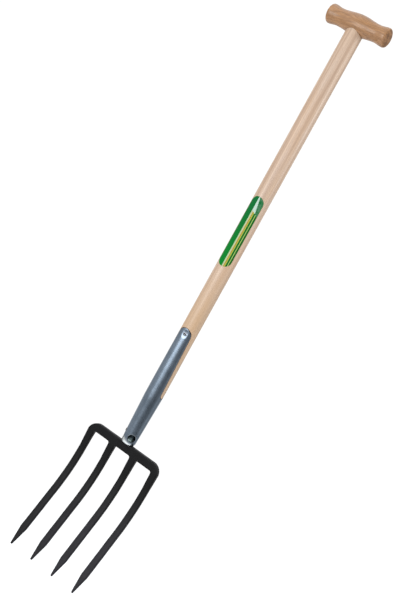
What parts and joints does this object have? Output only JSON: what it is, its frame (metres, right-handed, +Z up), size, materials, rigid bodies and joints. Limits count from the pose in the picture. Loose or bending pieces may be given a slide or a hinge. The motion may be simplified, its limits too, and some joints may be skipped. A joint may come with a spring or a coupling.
{
  "type": "digging fork",
  "caption": "Garden digging fork: black forged head with square tines, galvanised strap socket, wooden shaft and turned wooden T-grip.",
  "frame": {"origin": "middle of the T-grip, on the shaft's axis", "axes": "+Z up along the shaft from the tines to the grip, +X along the crossbar and the grip bar, the tines' points lean to -Y"},
  "size_m": [0.1828, 0.0986, 1.2414],
  "materials": {
    "black_paint": "matte black paint on forged steel",
    "galvanised_steel": "galvanised sheet steel, satin",
    "weld_metal": "as welded",
    "rivet_steel": "zinc plated",
    "ash_wood": "sanded, thin clear coat",
    "grip_wood": "turned and oiled",
    "wedge_wood": "raw hardwood",
    "green_film": "printed film"
  },
  "bodies": {
    "root": {"fork_head": "black_paint", "socket": "galvanised_steel", "tang_weld": "weld_metal", "socket_pin": "rivet_steel", "strap_rivet": "rivet_steel", "shaft": "ash_wood", "t_grip": "grip_wood", "tenon_wedge": "wedge_wood", "label": "green_film"}
  },
  "joints": []
}
